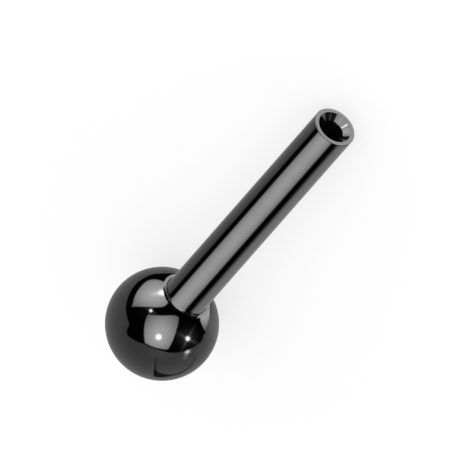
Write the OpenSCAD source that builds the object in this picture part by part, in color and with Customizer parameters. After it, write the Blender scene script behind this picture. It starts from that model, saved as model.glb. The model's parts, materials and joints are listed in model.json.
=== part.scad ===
// Threadless barbell for body jewellery, in millimetres.
// A fixed ball sits on one end of a straight hollow post. The other end is open:
// a countersink leads into a blind bore that grips the bent pin of a push-in decorative end.
// Each piece is drawn along its own +Z from the centre of the ball, then laid on its side
// the way it comes to rest, on the ball and on the lower edge of the tip.

/* [Post] */
// Outside diameter of the post (16 gauge)
post_d = 1.2; // [1.0:0.1:1.6]
// Wearable length, from the front of the ball to the face of the tip
wear_l = 8.0; // [6:0.5:16]
// Radius of the rounded outer edge of the tip
tip_edge_r = 0.04; // [0.02:0.01:0.06]

/* [Bore] */
// Diameter of the blind bore
bore_d = 0.64; // [0.50:0.02:0.70]
// Depth of the bore from the face of the tip
bore_depth = 6.0; // [3:0.5:6]
// Diameter of the countersink at the face, as a share of the post's diameter
countersink_share = 0.8; // [0.76:0.01:0.84]
// Included angle of the countersink in degrees
countersink_angle = 90; // [60:1:100]

/* [Ball] */
// Diameter of the ball (3 mm class)
ball_d = 3.04; // [2.6:0.02:5.0]
// Width of the flat land faced on the ball round the foot of the post
land_w = 0.11; // [0.06:0.01:0.15]

/* [Press joint] */
// Diameter of the spigot that holds the post in the ball
spigot_d = 0.8; // [0.6:0.05:0.9]
// Length of the spigot
spigot_l = 1.2; // [0.8:0.1:1.5]
// Clearance round and below the spigot
spigot_gap = 0.02; // [0.01:0.005:0.03]
// Clearance between the shoulder of the post and the land
seat_gap = 0.01; // [0.005:0.005:0.02]

/* [Hidden] */

$fn = 96;

polished_black = [0.22, 0.22, 0.23];

ball_r = ball_d / 2;
post_r = post_d / 2;
bore_r = bore_d / 2;
spigot_r = spigot_d / 2;

// Heights along the barbell, from the centre of the ball
tip_z = ball_r + wear_l;
land_z = sqrt(pow(ball_r, 2) - pow(post_r + land_w, 2));
shoulder_z = land_z + seat_gap;
socket_z = land_z - spigot_l - spigot_gap;
bore_z = tip_z - bore_depth;

countersink_r = countersink_share * post_r;
countersink_depth = (countersink_r - bore_r) / tan(countersink_angle / 2);

// How far each cut reaches past the face that it opens
overcut = 0.5;

// The ball's lowest point and the tip's rounded lower edge share one level surface:
// (tip_z - tip_edge_r) * sin(dip) + (post_r - tip_edge_r) * cos(dip) = ball_r - tip_edge_r
edge_z = tip_z - tip_edge_r;
edge_x = post_r - tip_edge_r;
dip = asin((ball_r - tip_edge_r) / norm([edge_z, edge_x])) - atan(edge_x / edge_z);

// Reach of the rounded upper edge of the tip, level with the surface, from the ball's centre
tip_reach = edge_z * cos(dip) + edge_x * sin(dip) + tip_edge_r;
middle_x = (tip_reach - ball_r) / 2;

// Lays a piece drawn upright on the surface z = 0, with the middle of its length at x = 0
module laid_on_side() {
    translate([-middle_x, 0, ball_r])
        rotate([0, 90 + dip, 0])
            children();
}

// Solid ball with a flat land and the blind hole that takes the spigot
module ball() {
    color(polished_black)
        laid_on_side()
            difference() {
                sphere(r = ball_r);
                translate([0, 0, land_z])
                    cylinder(r = ball_r, h = ball_r);
                translate([0, 0, socket_z])
                    cylinder(r = spigot_r + spigot_gap, h = spigot_l + spigot_gap + overcut);
            }
}

// Half section of the post: spigot, shoulder, shank and rounded tip edge
module post_section() {
    translate([0, shoulder_z - spigot_l])
        square([spigot_r, spigot_l + overcut]);
    translate([0, shoulder_z])
        square([post_r, edge_z - shoulder_z]);
    translate([0, shoulder_z])
        square([edge_x, tip_z - shoulder_z]);
    translate([edge_x, edge_z])
        circle(r = tip_edge_r);
}

// Half section of the countersink and the bore
module bore_section() {
    polygon([
        [0, bore_z],
        [bore_r, bore_z],
        [bore_r, tip_z - countersink_depth],
        [countersink_r, tip_z],
        [countersink_r, tip_z + overcut],
        [0, tip_z + overcut],
    ]);
}

module post() {
    color(polished_black)
        laid_on_side()
            rotate_extrude()
                difference() {
                    post_section();
                    bore_section();
                }
}

ball();
post();
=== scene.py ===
"""Threadless barbell lying on a pale floor: a polished black ball and its hollow post.

Metres throughout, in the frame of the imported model: +Z is up and +X runs from the ball to the tip.
Both pieces are turned from a profile of points (s, r), where s is the distance along the post's axis from
the ball's centre, and r is the distance from that axis.

The metal is a dark mirror, so its look comes from what stands round it: two spheres of painted light, one
that only the ball mirrors and one that only the post mirrors.
"""
import json
import math
from collections import namedtuple

import bmesh
import bpy
import numpy as np
from mathutils import Matrix, Vector


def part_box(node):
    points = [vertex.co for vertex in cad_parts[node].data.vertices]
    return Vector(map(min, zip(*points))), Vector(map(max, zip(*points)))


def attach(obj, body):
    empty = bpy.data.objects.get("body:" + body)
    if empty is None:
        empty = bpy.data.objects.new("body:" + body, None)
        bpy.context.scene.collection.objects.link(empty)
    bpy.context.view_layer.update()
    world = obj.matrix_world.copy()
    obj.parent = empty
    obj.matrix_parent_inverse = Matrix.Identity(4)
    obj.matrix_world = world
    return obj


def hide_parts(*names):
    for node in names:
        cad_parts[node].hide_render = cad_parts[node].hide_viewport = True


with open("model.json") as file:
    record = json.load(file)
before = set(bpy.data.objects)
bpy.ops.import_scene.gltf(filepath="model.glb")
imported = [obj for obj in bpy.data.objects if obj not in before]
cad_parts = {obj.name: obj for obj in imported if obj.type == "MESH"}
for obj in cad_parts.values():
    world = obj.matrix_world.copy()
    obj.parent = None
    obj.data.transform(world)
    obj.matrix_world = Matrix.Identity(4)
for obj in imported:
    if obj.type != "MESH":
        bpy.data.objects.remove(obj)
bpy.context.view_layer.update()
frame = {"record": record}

MM = 0.001

# Sizes that the frame gives
mounts = {mount["name"]: mount for mount in frame["record"]["mounts"]}
shaft = mounts["post_shaft"]
socket = mounts["pin_socket"]
ball_low, ball_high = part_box("ball")
ball_r = (ball_high.y - ball_low.y) / 2
post_r = shaft["dims"]["r_mm"] * MM
bore_r = socket["dims"]["r_mm"] * MM
shaft_length = shaft["dims"]["length_mm"] * MM
socket_length = socket["dims"]["length_mm"] * MM

# The post's axis, and the ball's centre, where that axis is one radius above the floor
along = Vector(shaft["axis"]).normalized()
shaft_middle = Vector(shaft["pos_m"])
centre = shaft_middle + along * ((ball_r - shaft_middle.z) / along.z)
side = Vector((0, -1, 0))
above = side.cross(along)

# Forms that the frame doesn't give: the flat land round the post's foot, the spigot, and the tip's edge,
# which starts where the shaft's mount ends
LAND_W = 0.11 * MM
SPIGOT_R = 0.4 * MM
SPIGOT_L = 1.2 * MM
SPIGOT_GAP = 0.02 * MM
SHAFT_END_TO_TIP = 0.04 * MM

# Softened edges, and the small fillet at the post's foot, which stops two degrees short of a knife edge
TIP_EDGE_R = 0.02 * MM
MOUTH_EDGE_R = 0.03 * MM
SOFT_EDGE = 0.006 * MM
FILLET_H = 0.10 * MM
FILLET_W = 0.045 * MM
FILLET_LEAN = 88

# Rings that keep the faces beside an edge flat, as shares of the fillet's width and the mouth's radius,
# and how far from the bore's wall a face still counts as in it, as a share of the soft edge
SHOULDER_RING = 0.8
MOUTH_RING = 0.6
WALL_NEAR = 0.1

# Places along the axis, and the radii there
shaft_s = (shaft_middle - centre).dot(along)
shoulder_s = shaft_s - shaft_length / 2
tip_s = shaft_s + shaft_length / 2 + SHAFT_END_TO_TIP
socket_s = (Vector(socket["pos_m"]) - centre).dot(along)
bore_floor_s = socket_s - socket_length / 2
bore_mouth_s = socket_s + socket_length / 2
countersink_r = bore_r + (tip_s - bore_mouth_s)
land_r = post_r + LAND_W
land_s = math.sqrt(ball_r**2 - land_r**2)

# Steps of the turned meshes and their arcs, and the turn from which an edge is crisp, in degrees
TURN_STEPS = 256
BALL_STEPS = 160
FILLET_STEPS = 32
TIP_EDGE_STEPS = 12
RIM_STEPS = 4
MOUTH_STEPS = 8
DOME_STEPS = 220
CRISP_FROM = 20

# Finishes: tone, roughness, and the width and depth of the lines left by turning or drilling
Finish = namedtuple("Finish", "name tone roughness line_width line_depth")
POLISHED = (0.03, 0.09 * MM, 0.00002 * MM)
DRILLED = (0.45, 0.12 * MM, 0.004 * MM)
BALL_METAL = Finish("ball_metal", 0.33, *POLISHED)
# The seat is polished like the rest; its near-black tone is painted shade round the post's foot
BALL_PAINTED_SHADE = Finish("ball_seat_painted_shade", 0.027, *POLISHED)
POST_METAL = Finish("post_metal", 0.33, *POLISHED)
POST_BORE = Finish("post_bore", 0.26, *DRILLED)

# How the coating varies: the size of its clouds, and the least and most of tone, haze and roughness
CLOUD_SIZE = 0.7 * MM
CLOUD_DETAIL = 4.0
LINE_DETAIL = 3.0
DARKEST = (0.9, 0.9, 0.92)
PALEST = (1.1, 1.1, 1.1)
HAZE = (0.1, 0.4)
POLISH = (0.6, 1.6)

# The photograph's camera: where it looks from, how it is rolled, its scale, and the ball's place
CAMERA_AZIMUTH = 90.0
CAMERA_ELEVATION = 41.40
CAMERA_ROLL = 138.7
PHOTO_PX = 470
PHOTO_PX_PER_MM = 37.608
BALL_PX = (162.03, 323.74)
CAMERA_DISTANCE = 40 * MM
CAMERA_CLIP = (0.5 * MM, 2000 * MM)

# The floor glows like a light table; the domes stand on the ball's centre
FLOOR_HALF = 1000 * MM
FLOOR_TONE = 0.3
FLOOR_GLOW = 0.71
ROOM_LIGHT = 0.98
POST_DOME_R = 400 * MM
BALL_DOME_R = 500 * MM


def viewed_from(azimuth, elevation, roll):
    """Right, up and back of a camera at that azimuth and elevation, turned about its own view."""
    turn, lift = math.radians(azimuth), math.radians(elevation)
    back = Vector((math.sin(turn) * math.cos(lift), -math.cos(turn) * math.cos(lift), math.sin(lift)))
    level = Vector((math.cos(turn), math.sin(turn), 0))
    spin = Matrix.Rotation(-math.radians(roll), 3, back)
    return spin @ level, spin @ back.cross(level), back


right, up, back = viewed_from(CAMERA_AZIMUTH, CAMERA_ELEVATION, CAMERA_ROLL)


def add_object(name, data):
    thing = bpy.data.objects.new(name, data)
    bpy.context.scene.collection.objects.link(thing)
    return thing


def add_camera():
    data = bpy.data.cameras.new("camera")
    data.type = "ORTHO"
    data.ortho_scale = PHOTO_PX / PHOTO_PX_PER_MM * MM
    data.clip_start, data.clip_end = CAMERA_CLIP
    camera = add_object("camera", data)
    middle = PHOTO_PX / 2
    place = centre + back * CAMERA_DISTANCE
    place += right * ((middle - BALL_PX[0]) / PHOTO_PX_PER_MM * MM)
    place += up * ((BALL_PX[1] - middle) / PHOTO_PX_PER_MM * MM)
    camera.matrix_world = Matrix.Translation(place) @ Matrix((right, up, back)).transposed().to_4x4()
    bpy.context.scene.camera = camera


def arc(middle, radius, start, end, steps):
    """Points (s, r) round a middle, from one angle to another in degrees, measured from the axis."""
    angles = [math.radians(start + (end - start) * k / steps) for k in range(steps + 1)]
    return [(middle[0] + radius * math.cos(a), middle[1] + radius * math.sin(a)) for a in angles]


def turned(name, profile, axis, spoke, steps, finish_of=None):
    """A closed mesh turned about an axis from points (s, r); where r is 0 it closes to one point."""
    bm = bmesh.new()
    other = axis.cross(spoke)
    turns = [2 * math.pi * k / steps for k in range(steps)]
    spokes = [spoke * math.cos(turn) + other * math.sin(turn) for turn in turns]
    rings = []
    for s, r in profile:
        if r == 0:
            rings.append([bm.verts.new(centre + axis * s)])
        else:
            rings.append([bm.verts.new(centre + axis * s + direction * r) for direction in spokes])
    for near, far, (s_near, r_near), (s_far, r_far) in zip(rings, rings[1:], profile, profile[1:]):
        for k in range(steps):
            corners = [near[k % len(near)], near[(k + 1) % len(near)]]
            corners += [far[(k + 1) % len(far)], far[k % len(far)]]
            face = bm.faces.new(list(dict.fromkeys(corners)))
            if finish_of:
                face.material_index = finish_of((s_near + s_far) / 2, (r_near + r_far) / 2)
    bmesh.ops.recalc_face_normals(bm, faces=bm.faces)
    for face in bm.faces:
        face.smooth = True
    mesh = bpy.data.meshes.new(name)
    bm.to_mesh(mesh)
    bm.free()
    return mesh


def mark_crisp_edges(mesh):
    bm = bmesh.new()
    bm.from_mesh(mesh)
    for edge in bm.edges:
        edge.smooth = edge.calc_face_angle(0) < math.radians(CRISP_FROM)
    bm.to_mesh(mesh)
    bm.free()


def ball_profile():
    """The ball from its back to the land, and down into the hole for the spigot."""
    land_angle = math.degrees(math.asin(land_r / ball_r))
    hole_r = SPIGOT_R + SPIGOT_GAP
    hole_floor_s = land_s - SPIGOT_L - SPIGOT_GAP
    points = arc((0, 0), ball_r, 180, land_angle, BALL_STEPS)
    points[0] = (-ball_r, 0)
    points += [(land_s, land_r - 2 * SOFT_EDGE), (land_s, hole_r + SOFT_EDGE), (land_s, hole_r)]
    points += [(hole_floor_s, hole_r), (hole_floor_s, 0)]
    return points


def ball_polish_or_painted_shade(s, r):
    """Polish on the sphere, and painted shade on the land and in the hole: a near-black seat tone that
    stands in for the shade where the post meets the ball.
    """
    return int(s > 0 and r < land_r)


def fillet():
    """The hollow curve from the post's shoulder to its side."""
    points = []
    for k in range(FILLET_STEPS + 1):
        lean = math.radians(FILLET_LEAN * (1 - k / FILLET_STEPS))
        s = shoulder_s + FILLET_H * (1 - math.sin(lean))
        points.append((s, post_r + FILLET_W * (1 - math.cos(lean))))
    return points


def post_profile():
    """The post from its spigot, over the shoulder, fillet and tip, and down into the bore."""
    spigot_s = shoulder_s - SPIGOT_L
    points = [(spigot_s, 0), (spigot_s, SPIGOT_R), (shoulder_s, SPIGOT_R)]
    points += [(shoulder_s, post_r + SHOULDER_RING * FILLET_W)]
    points += fillet()
    edge_s, edge_r = tip_s - TIP_EDGE_R, post_r - TIP_EDGE_R
    points += [(shoulder_s + FILLET_H + SOFT_EDGE, post_r), (edge_s - SOFT_EDGE, post_r)]
    points += arc((edge_s, edge_r), TIP_EDGE_R, 90, 0, TIP_EDGE_STEPS)
    points += [(tip_s, edge_r - SOFT_EDGE), (tip_s, countersink_r + 3 * SOFT_EDGE)]
    # Two arcs round off the 45-degree turns from the tip's face to the countersink and on to the bore
    half_turn = math.tan(math.radians(45 / 2))
    rim = (tip_s - SOFT_EDGE, countersink_r + SOFT_EDGE * half_turn)
    points += arc(rim, SOFT_EDGE, 0, -45, RIM_STEPS)
    for step in (2 * SOFT_EDGE, tip_s - bore_mouth_s - MOUTH_RING * MOUTH_EDGE_R):
        points += [(tip_s - step, countersink_r - step)]
    mouth = (bore_mouth_s - MOUTH_EDGE_R * half_turn, bore_r + MOUTH_EDGE_R)
    points += arc(mouth, MOUTH_EDGE_R, 315, 270, MOUTH_STEPS)
    points += [(bore_mouth_s - MOUTH_EDGE_R, bore_r), (bore_floor_s, bore_r), (bore_floor_s, 0)]
    return points


def post_finish(s, r):
    """Polish outside and on the countersink, and a drilled finish in the bore."""
    return int(s > shoulder_s and r < bore_r + WALL_NEAR * SOFT_EDGE)


def add_node(nodes, kind, place, **inputs):
    node = nodes.new(kind)
    node.location = place
    for name, value in inputs.items():
        node.inputs[name.replace("_", " ")].default_value = value
    return node


def polished_metal(finish):
    """Black-coated metal: the tone and the polish vary a little, and lines run round the axis."""
    material = bpy.data.materials.new(finish.name)
    material.use_nodes = True
    nodes, links = material.node_tree.nodes, material.node_tree.links
    shader = nodes["Principled BSDF"]
    shader.inputs["Metallic"].default_value = 1.0
    place = add_node(nodes, "ShaderNodeTexCoord", (-1300, 0))
    reach = add_node(nodes, "ShaderNodeVectorMath", (-1100, -200))
    reach.operation = "DOT_PRODUCT"
    reach.inputs[1].default_value = along
    links.new(place.outputs["Object"], reach.inputs[0])
    line_scale = 1 / finish.line_width
    lines = add_node(nodes, "ShaderNodeTexNoise", (-900, -200), Scale=line_scale, Detail=LINE_DETAIL)
    lines.noise_dimensions = "1D"
    links.new(reach.outputs["Value"], lines.inputs["W"])
    cloud = add_node(nodes, "ShaderNodeTexNoise", (-900, 200), Scale=1 / CLOUD_SIZE, Detail=CLOUD_DETAIL)
    links.new(place.outputs["Object"], cloud.inputs["Vector"])
    tone = add_node(nodes, "ShaderNodeMix", (-600, 200))
    tone.data_type = "RGBA"
    tone.inputs["A"].default_value = [share * finish.tone for share in DARKEST] + [1]
    tone.inputs["B"].default_value = [share * finish.tone for share in PALEST] + [1]
    links.new(cloud.outputs["Fac"], tone.inputs["Factor"])
    links.new(tone.outputs["Result"], shader.inputs["Base Color"])
    haze = add_node(nodes, "ShaderNodeMath", (-600, 0))
    haze.operation = "MULTIPLY"
    links.new(cloud.outputs["Fac"], haze.inputs[0])
    links.new(lines.outputs["Fac"], haze.inputs[1])
    polish = add_node(nodes, "ShaderNodeMapRange", (-400, 0), From_Min=HAZE[0], From_Max=HAZE[1],
                      To_Min=POLISH[0] * finish.roughness, To_Max=POLISH[1] * finish.roughness)
    links.new(haze.outputs["Value"], polish.inputs["Value"])
    links.new(polish.outputs["Result"], shader.inputs["Roughness"])
    bump = add_node(nodes, "ShaderNodeBump", (-400, -250), Distance=finish.line_depth)
    links.new(lines.outputs["Fac"], bump.inputs["Height"])
    links.new(bump.outputs["Normal"], shader.inputs["Normal"])
    return material


def glowing(name, see_through):
    """Light whose strength each point of the mesh holds as its level."""
    material = bpy.data.materials.new(name)
    material.use_nodes = True
    material.cycles.emission_sampling = "NONE"
    nodes, links = material.node_tree.nodes, material.node_tree.links
    nodes.clear()
    level = add_node(nodes, "ShaderNodeAttribute", (-400, 0))
    level.attribute_name = "level"
    light = add_node(nodes, "ShaderNodeEmission", (-200, 0))
    links.new(level.outputs["Fac"], light.inputs["Strength"])
    output = add_node(nodes, "ShaderNodeOutputMaterial", (200, 0))
    if see_through:
        clear = add_node(nodes, "ShaderNodeBsdfTransparent", (-200, -150))
        both = add_node(nodes, "ShaderNodeAddShader", (0, 0))
        links.new(light.outputs[0], both.inputs[0])
        links.new(clear.outputs[0], both.inputs[1])
        links.new(both.outputs[0], output.inputs["Surface"])
    else:
        links.new(light.outputs[0], output.inputs["Surface"])
    return material


def smooth(x, low, high):
    """0 up to low, 1 from high on, and an even rise between them."""
    t = np.clip((x - low) / (high - low), 0, 1)
    return t * t * (3 - 2 * t)


def span(x, rise, fall):
    """1 between a rise and a fall, each given by its two ends."""
    return smooth(x, *rise) * (1 - smooth(x, *fall))


def over(light, level, share):
    return light * (1 - share) + level * share


# What stands round the part is laid out as a mirror ball shows it from the photograph's side: x to the
# right and y up, in radii. A glow fades from a point, with a half width and half height, turned in degrees.
# A panel is inside a closed line, and its edge is soft between two distances inwards from that line.
Glow = namedtuple("Glow", "at size level turn power", defaults=(0.0, 2.0))
Panel = namedtuple("Panel", "start full line")
Lamp = namedtuple("Lamp", "at size level arm")

# Steps of a smooth line between two of its points, and a distance longer than any in the mirror ball
LINE_STEPS = 6
FAR_OFF = 9.0


def glow(x, y, shape):
    c, s = math.cos(math.radians(shape.turn)), math.sin(math.radians(shape.turn))
    dx, dy = x - shape.at[0], y - shape.at[1]
    u, v = (dx * c + dy * s) / shape.size[0], (dy * c - dx * s) / shape.size[1]
    return shape.level * np.exp(-((u**2 + v**2) ** (shape.power / 2)))


def glows(x, y, shapes):
    return sum(glow(x, y, shape) for shape in shapes)


def rounded(points):
    """A closed smooth line through the points."""
    points = np.array(points, float)
    line = []
    for k in range(len(points)):
        a, b, c, d = (points[(k + j) % len(points)] for j in (-1, 0, 1, 2))
        for t in np.arange(LINE_STEPS) / LINE_STEPS:
            line.append(b + (c - a) * t / 2 + (2 * a - 5 * b + 4 * c - d) * t**2 / 2
                        + (3 * b - a - 3 * c + d) * t**3 / 2)
    return line


def covered(x, y, panel):
    """The share of each point that the panel covers."""
    line = rounded(panel.line)
    inside = np.zeros(x.shape, bool)
    gap = np.full(x.shape, FAR_OFF)
    for (x0, y0), (x1, y1) in zip(line, line[1:] + line[:1]):
        if y0 != y1:
            level = (y > min(y0, y1)) & (y <= max(y0, y1))
            inside ^= level & (x < x0 + (y - y0) * (x1 - x0) / (y1 - y0))
        ex, ey = x1 - x0, y1 - y0
        t = np.clip(((x - x0) * ex + (y - y0) * ey) / max(ex * ex + ey * ey, 1e-9), 0, 1)
        gap = np.minimum(gap, np.hypot(x - x0 - t * ex, y - y0 - t * ey))
    return smooth(np.where(inside, gap, -gap), panel.start, panel.full)


# The grey table and walls, which are paler towards the edge of the mirror ball
TABLE_LEVEL = 0.10
WALL_RISE = 0.20
WALL_POWER = 6
TABLE_GLOWS = [
    Glow(at=(-0.02, -0.50), size=(0.22, 0.10), level=0.05),
    Glow(at=(0.88, 0.0), size=(0.10, 0.28), level=0.10),
    Glow(at=(0.26, 0.84), size=(0.08, 0.08), level=0.14),
    Glow(at=(-0.165, -0.80), size=(0.012, 0.14), level=0.06),
]

# The shadow at the table's edge, fainter to the right, and the light that spills on the table behind it
TABLE_SHADOW = Panel(start=-0.012, full=0.012, line=[
    (-0.095, -0.60), (-0.105, -0.70), (-0.11, -0.78), (-0.075, -0.84), (0.0, -0.868), (0.1, -0.885),
    (0.2, -0.88), (0.3, -0.852), (0.4, -0.80), (0.48, -0.735), (0.54, -0.65), (0.575, -0.57),
    (0.59, -0.57), (0.56, -0.66), (0.50, -0.75), (0.42, -0.818), (0.31, -0.875), (0.2, -0.905),
    (0.1, -0.925), (0.0, -0.938), (-0.08, -0.935), (-0.145, -0.915), (-0.15, -0.85), (-0.14, -0.78),
    (-0.125, -0.70), (-0.105, -0.60),
])
SHADOW_LEVEL = 0.02
SHADOW_FADE = 0.45
SHADOW_FADES = (0.1, 0.6)
SPILL_GLOWS = [
    Glow(at=(0.445, -0.49), size=(0.045, 0.03), level=1.5, turn=30, power=2.4),
    Glow(at=(0.42, -0.55), size=(0.03, 0.05), level=0.25, turn=-25),
    Glow(at=(0.385, -0.605), size=(0.05, 0.018), level=0.10),
]

# The dark room between the table and the lights
DARK_ROOM = Panel(start=-0.018, full=0.0, line=[
    (0.28, 0.87), (0.1, 0.873), (-0.1, 0.865), (-0.2, 0.845), (-0.3, 0.80), (-0.4, 0.735), (-0.47, 0.665),
    (-0.53, 0.58), (-0.575, 0.49), (-0.605, 0.4), (-0.624, 0.3), (-0.618, 0.2), (-0.60, 0.1),
    (-0.58, 0.045), (-0.567, 0.0), (-0.582, -0.05), (-0.607, -0.12), (-0.603, -0.18), (-0.575, -0.22),
    (-0.5, -0.268), (-0.4, -0.318), (-0.31, -0.345), (-0.2, -0.40), (-0.05, -0.45), (0.1, -0.492),
    (0.2, -0.5), (0.3, -0.492), (0.4, -0.467), (0.5, -0.425), (0.6, -0.37), (0.66, -0.325),
    (0.70, -0.27), (0.715, -0.205), (0.752, -0.15), (0.72, -0.09), (0.69, -0.02), (0.667, 0.04),
    (0.655, 0.12), (0.66, 0.3), (0.6, 0.55), (0.45, 0.78),
])
ROOM_LEVEL = 0.002
ROOM_GLOWS = [
    Glow(at=(0.44, -0.24), size=(0.15, 0.13), level=0.045),
    Glow(at=(-0.22, 0.2), size=(0.16, 0.12), level=0.008),
]

# The softbox overhead, with its bulb and the streak beside it
OVERHEAD_BOX = Panel(start=0.0, full=0.03, line=[
    (-0.537, 0.289), (-0.522, 0.36), (-0.498, 0.45), (-0.46, 0.54), (-0.408, 0.62), (-0.355, 0.685),
    (-0.3, 0.735), (-0.25, 0.765), (-0.18, 0.785), (-0.1, 0.785), (-0.03, 0.77), (0.05, 0.735),
    (0.15, 0.66), (0.21, 0.56), (0.18, 0.46), (0.12, 0.37), (0.085, 0.325), (0.04, 0.292),
    (-0.03, 0.277), (-0.12, 0.274), (-0.3, 0.283), (-0.45, 0.288),
])
OVERHEAD_GLOWS = [
    Glow(at=(-0.13, 0.51), size=(0.42, 0.29), level=1.13, turn=9),
    Glow(at=(-0.1, 0.72), size=(0.2, 0.05), level=0.07),
    Glow(at=(0.01, 0.545), size=(0.055, 0.042), level=3.2),
    Glow(at=(-0.07, 0.53), size=(0.10, 0.035), level=0.7, turn=8),
]

# The softbox in front, with its bulb
FRONT_BOX = Panel(start=0.0, full=0.024, line=[
    (-0.27, 0.14), (-0.235, 0.165), (-0.15, 0.162), (0.0, 0.153), (0.15, 0.157), (0.24, 0.150),
    (0.285, 0.13), (0.303, 0.105), (0.298, 0.05), (0.284, -0.03), (0.264, -0.1), (0.234, -0.2),
    (0.197, -0.3), (0.162, -0.37), (0.13, -0.425), (0.098, -0.457), (0.04, -0.457), (-0.02, -0.447),
    (-0.1, -0.43), (-0.2, -0.395), (-0.27, -0.36), (-0.305, -0.335), (-0.32, -0.25), (-0.325, -0.17),
    (-0.322, -0.08), (-0.312, 0.0), (-0.298, 0.06), (-0.285, 0.10),
])
FRONT_GLOWS = [
    Glow(at=(-0.05, -0.19), size=(0.42, 0.34), level=1.05, turn=65),
    Glow(at=(-0.06, -0.232), size=(0.045, 0.045), level=3.6, power=2.6),
]

# The white card at the side, and its shaded edge
SIDE_CARD = Panel(start=0.0, full=0.022, line=[
    (0.655, 0.12), (0.665, 0.04), (0.69, -0.02), (0.72, -0.09), (0.748, -0.135), (0.775, -0.1),
    (0.805, -0.02), (0.828, 0.06), (0.842, 0.14), (0.848, 0.25), (0.843, 0.35), (0.80, 0.45),
    (0.70, 0.55), (0.62, 0.50), (0.65, 0.3),
])
CARD_GLOWS = [Glow(at=(0.765, 0.17), size=(0.28, 0.15), level=1.05, turn=68)]
CARD_EDGE = Glow(at=(0.847, 0.24), size=(0.008, 0.11), level=-0.2)

LIT_PANELS = [(OVERHEAD_BOX, OVERHEAD_GLOWS), (FRONT_BOX, FRONT_GLOWS), (SIDE_CARD, CARD_GLOWS)]

# Bare lamps, each with a faint cross of light as long as its arm
LAMPS = [
    Lamp(at=(0.45, -0.26), size=0.033, level=4.2, arm=0.09),
    Lamp(at=(-0.195, 0.228), size=0.024, level=3.2, arm=0.05),
]
LAMP_POWER = 2.4
CROSS_TURNS = (62, 152)
CROSS_WIDTH = 0.4
CROSS_LEVEL = 0.08
CROSS_POWER = 1.2


def star(x, y, lamp):
    light = glow(x, y, Glow(lamp.at, (lamp.size, lamp.size), lamp.level, power=LAMP_POWER))
    arm_size = (lamp.arm, CROSS_WIDTH * lamp.size)
    for turn in CROSS_TURNS:
        light = light + glow(x, y, Glow(lamp.at, arm_size, CROSS_LEVEL * lamp.level, turn, CROSS_POWER))
    return light


def table(x, y):
    light = TABLE_LEVEL + WALL_RISE * np.hypot(x, y) ** WALL_POWER
    light = light + glows(x, y, TABLE_GLOWS)
    shadow = covered(x, y, TABLE_SHADOW) * (1 - SHADOW_FADE * smooth(x, *SHADOW_FADES))
    return over(light, SHADOW_LEVEL, shadow) + glows(x, y, SPILL_GLOWS)


def studio(x, y):
    """The light that comes from each place in the mirror ball."""
    dark = covered(x, y, DARK_ROOM)
    light = over(table(x, y), ROOM_LEVEL, dark) + dark * glows(x, y, ROOM_GLOWS)
    for panel, lights in LIT_PANELS:
        light = over(light, glows(x, y, lights), covered(x, y, panel))
    light = light + glow(x, y, CARD_EDGE)
    for lamp in LAMPS:
        light = light + star(x, y, lamp)
    return np.maximum(light, 0.0)


def in_mirror_ball(directions):
    """Where a mirror ball would show each direction, in the camera's right and up."""
    normals = directions + np.array(back)
    normals /= np.maximum(np.linalg.norm(normals, axis=1, keepdims=True), 1e-9)
    return normals @ np.array(right), normals @ np.array(up)


# The land round the post's foot is painted nearly black, as shade where the post meets the ball, so what it
# mirrors is bright:
# a lamp that it mirrors straight, and a strip of light that it mirrors by way of the post's side
LAND_LAMP = Glow(at=(along.dot(right), along.dot(up)), size=(0.06, 0.06), level=9.6, power=4.0)
STRIP_LEVEL = 4.2
STRIP_WIDTH = 0.012
STRIP_POWER = 4
STRIP_SPAN = ((70, 90), (158, 168))


def ball_light(directions):
    """The light that reaches the ball: the studio, and the lamp for the land."""
    x, y = in_mirror_ball(directions)
    return studio(x, y) + glow(x, y, LAND_LAMP)


# What the tip mirrors besides the studio: a pale tent, small patches, and two streaks
TIP_TENT = Panel(start=-0.015, full=0.015, line=[
    (0.05, 0.735), (0.12, 0.79), (0.25, 0.83), (0.4, 0.8), (0.55, 0.72), (0.68, 0.58), (0.72, 0.45),
    (0.68, 0.3), (0.62, 0.2), (0.52, 0.22), (0.42, 0.24), (0.3, 0.22), (0.15, 0.2), (0.05, 0.28),
    (-0.05, 0.35), (-0.05, 0.6),
])
TENT_LINING = Panel(start=-0.015, full=0.015, line=[
    (-0.46, 0.34), (-0.3, 0.36), (0.0, 0.36), (0.15, 0.3), (0.2, 0.12), (0.0, 0.1), (-0.27, 0.1),
    (-0.36, 0.2),
])
TENT_LEVEL = 0.84
LINING_LEVEL = 0.80
TIP_PATCHES = [
    Glow(at=(0.57, -0.17), size=(0.10, 0.07), level=0.02),
    Glow(at=(0.40, -0.19), size=(0.05, 0.05), level=0.02),
    Glow(at=(0.78, -0.2), size=(0.07, 0.10), level=0.30),
    Glow(at=(-0.245, 0.775), size=(0.04, 0.04), level=0.02),
    Glow(at=(-0.17, 0.875), size=(0.05, 0.035), level=0.22),
    Glow(at=(-0.06, 0.945), size=(0.06, 0.03), level=0.03),
]
PATCH_POWER = 4.0
TIP_STREAKS = [
    Glow(at=(0.485, -0.2), size=(0.018, 0.05), level=0.12),
    Glow(at=(-0.175, 0.25), size=(0.02, 0.06), level=2.5),
]

# The rest of the post's light is laid out by two readings of each direction: the angle round the post, in
# degrees from above it towards the side, and the share that points towards the tip, from -1 to 1.
# The shank mirrors shares up to the first of these two, and the foot and the tip those from the second on.
SHANK_UP_TO = (-0.45, -0.33)
UNLIT = 0.003

# The long softbox over the shank, brightest in its middle, and the walls to its left and right
LONG_BOX_SPAN = ((-52, -43), (37, 48))
LONG_BOX_LEVEL = 0.91
LONG_BOX_MIDDLE = -3
LONG_BOX_HALF = 40
LONG_BOX_FALL = 0.36
LEFT_WALL_AT = -83
LEFT_WALL_LEVEL = 0.145
LEFT_WALL_RISE = 0.0023
LEFT_WALL_UP_TO = (-80, -70)
RIGHT_WALL_LEVEL = 0.40
RIGHT_WALL_FROM = (66, 96)

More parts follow.
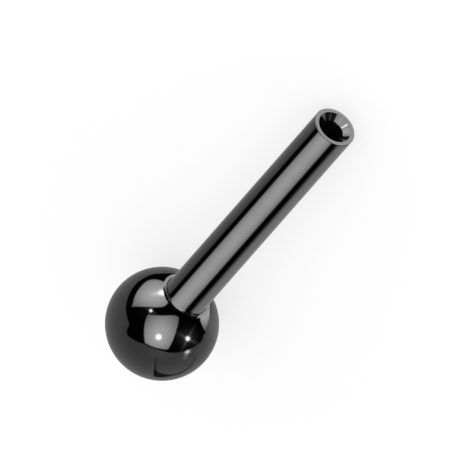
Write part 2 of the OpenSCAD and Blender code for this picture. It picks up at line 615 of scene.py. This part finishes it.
# The end of the long softbox, which the fillet mirrors: it narrows to a round end towards the tip
BOX_END_LEVEL = 0.88
BOX_END_HALF = 46
BOX_END_EDGE = 9
BOX_END_AT = 0.92
BOX_END_LENGTH = 1.4
BOX_END_FADES = (0.84, 0.92)

# The box beyond the tip, between dark gaps, which the post's side mirrors when it is seen from behind
REAR_FROM = (0.66, 0.70)
REAR_SPAN = ((56, 60), (148, 156))
REAR_BOX_SPAN = ((67, 74), (118, 126))
REAR_BOX_LEVEL = 0.75

# What the countersink mirrors, as rows of angle and share. Near the softbox, only the fillet mirrors what
# lies on either side of that line, and it is dark, though a little paler on the left.
CONE_MIRRORS = [
    (0, 0.73), (30, 0.71), (58, 0.633), (82, 0.517), (103, 0.366), (121, 0.19), (137, 0.0), (163, -0.366),
    (180, -0.6),
]
NEAR_UP_TO = (96, 112)
BEFORE_CONE = (-0.09, -0.05)
PAST_CONE = (0.05, 0.09)
PAST_ALL = (0.80, 0.84)
GAP_LEVEL = 0.012
GAP_LEFT_RISE = 0.03
GAP_LEFT_FROM = (0, 30)
FOOT_LAMP = Glow(at=(78, 0.208), size=(4.5, 0.115), level=1.25)


def tip_light(x, y):
    light = over(studio(x, y), TENT_LEVEL, covered(x, y, TIP_TENT))
    light = over(light, LINING_LEVEL, covered(x, y, TENT_LINING))
    for patch in TIP_PATCHES:
        light = over(light, patch.level, glow(x, y, patch._replace(level=1.0, power=PATCH_POWER)))
    return light + glows(x, y, TIP_STREAKS)


def beyond_tip(light, angle, share):
    """Adds the box beyond the tip, and the strip that the land mirrors by way of the post's side."""
    box = UNLIT + REAR_BOX_LEVEL * span(abs(angle), *REAR_BOX_SPAN)
    light = over(light, box, smooth(share, *REAR_FROM) * span(abs(angle), *REAR_SPAN))
    strip = np.exp(-(((share - along.dot(back)) / STRIP_WIDTH) ** STRIP_POWER))
    return over(light, STRIP_LEVEL, strip * span(-angle, *STRIP_SPAN))


def round_foot(light, angle, share):
    """Adds what only the fillet mirrors: dark gaps, the end of the long softbox, and a small lamp."""
    past_shank = smooth(share, *SHANK_UP_TO)
    past_cone = share - np.interp(abs(angle), *zip(*CONE_MIRRORS))
    near = 1 - smooth(abs(angle), *NEAR_UP_TO)
    gap = past_shank * (1 - smooth(past_cone, *BEFORE_CONE)) * near
    gap = gap + smooth(past_cone, *PAST_CONE) * near + smooth(share, *PAST_ALL) * (1 - near)
    gap_level = GAP_LEVEL + GAP_LEFT_RISE * smooth(-angle, *GAP_LEFT_FROM)
    light = over(light, gap_level, np.minimum(gap, 1))
    half = BOX_END_HALF * np.sqrt(np.clip((BOX_END_AT - share) / BOX_END_LENGTH, 0, 1))
    box_end = past_shank * (1 - smooth(abs(angle), half - BOX_END_EDGE, half))
    light = over(light, BOX_END_LEVEL, box_end * (1 - smooth(share, *BOX_END_FADES)))
    return light + glow(angle, share, FOOT_LAMP)


def over_shank(angle):
    """The long softbox, and the walls beside it."""
    fall = LONG_BOX_FALL * ((angle - LONG_BOX_MIDDLE) / LONG_BOX_HALF) ** 2
    light = UNLIT + (LONG_BOX_LEVEL - fall) * span(angle, *LONG_BOX_SPAN)
    left_wall = LEFT_WALL_LEVEL + LEFT_WALL_RISE * (LEFT_WALL_AT - angle)
    light = over(light, left_wall, 1 - smooth(angle, *LEFT_WALL_UP_TO))
    light = over(light, RIGHT_WALL_LEVEL, smooth(angle, *RIGHT_WALL_FROM))
    return np.maximum(light, 0)


def post_light(directions):
    """The light that reaches the post."""
    angle = np.degrees(np.arctan2(directions @ np.array(side), directions @ np.array(above)))
    share = directions @ np.array(along)
    light = tip_light(*in_mirror_ball(directions))
    light = beyond_tip(light, angle, share)
    light = round_foot(light, angle, share)
    return over(light, over_shank(angle), 1 - smooth(share, *SHANK_UP_TO))


def add_dome(name, radius, pole, spoke, light_of, piece, see_through):
    """A sphere of light round the part, which only one piece mirrors."""
    profile = arc((0, 0), radius, 180, 0, DOME_STEPS)
    profile[0] = (-radius, 0)
    profile[-1] = (radius, 0)
    mesh = turned(name, profile, pole, spoke, 2 * DOME_STEPS)
    points = np.zeros(len(mesh.vertices) * 3)
    mesh.vertices.foreach_get("co", points)
    directions = (points.reshape(-1, 3) - np.array(centre)) / radius
    level = mesh.attributes.new("level", "FLOAT", "POINT")
    level.data.foreach_set("value", light_of(directions).astype(np.float32))
    mesh.materials.append(glowing(name, see_through))
    dome = add_object(name, mesh)
    dome.visible_camera = False
    dome.visible_diffuse = False
    dome.visible_shadow = False
    dome.visible_transmission = False
    reached = bpy.data.collections.new(name + "_reaches")
    reached.objects.link(piece)
    dome.light_linking.receiver_collection = reached


def add_floor():
    """A pale floor that glows like a light table, so that shadows on it are faint."""
    mesh = bpy.data.meshes.new("floor")
    corners = [(x * FLOOR_HALF, y * FLOOR_HALF, 0) for x, y in ((-1, -1), (1, -1), (1, 1), (-1, 1))]
    mesh.from_pydata(corners, [], [(0, 1, 2, 3)])
    floor = add_object("floor", mesh)
    material = bpy.data.materials.new("floor")
    material.use_nodes = True
    shader = material.node_tree.nodes["Principled BSDF"]
    shader.inputs["Base Color"].default_value = (FLOOR_TONE, FLOOR_TONE, FLOOR_TONE, 1)
    shader.inputs["Roughness"].default_value = 1.0
    shader.inputs["Specular IOR Level"].default_value = 0.0
    shader.inputs["Emission Color"].default_value = (1, 1, 1, 1)
    shader.inputs["Emission Strength"].default_value = FLOOR_GLOW
    mesh.materials.append(material)
    floor.visible_glossy = False


def add_pale_room():
    """An even pale light from all round, which lights the floor; the metal mirrors the domes alone."""
    world = bpy.data.worlds.new("pale_room")
    world.use_nodes = True
    shade = world.node_tree.nodes["Background"]
    shade.inputs["Color"].default_value = (1, 1, 1, 1)
    shade.inputs["Strength"].default_value = ROOM_LIGHT
    bpy.context.scene.world = world
    world.cycles_visibility.glossy = False


def add_piece(name, profile, finish_of, finishes, node):
    """A turned piece that stands for a CAD node, with a finish for each index that finish_of gives."""
    mesh = turned(name, profile, along, above, TURN_STEPS, finish_of)
    mark_crisp_edges(mesh)
    for finish in finishes:
        mesh.materials.append(polished_metal(finish))
    piece = add_object(name, mesh)
    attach(piece, "root")
    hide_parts(node)
    return piece


add_camera()
bpy.context.scene.view_settings.view_transform = "Standard"

# The ball's land and hole get a near-black tone that is painted shade at the post's foot
ball = add_piece("ball_polished", ball_profile(), ball_polish_or_painted_shade, (BALL_METAL, BALL_PAINTED_SHADE), "ball")
post = add_piece("post_polished", post_profile(), post_finish, (POST_METAL, POST_BORE), "post")

# If the post mirrored the ball, its foot would be dark where the photograph is bright
ball.visible_glossy = False

add_floor()
add_pale_room()
add_dome("post_studio", POST_DOME_R, along, above, post_light, post, see_through=True)
add_dome("ball_studio", BALL_DOME_R, back, up, ball_light, ball, see_through=False)
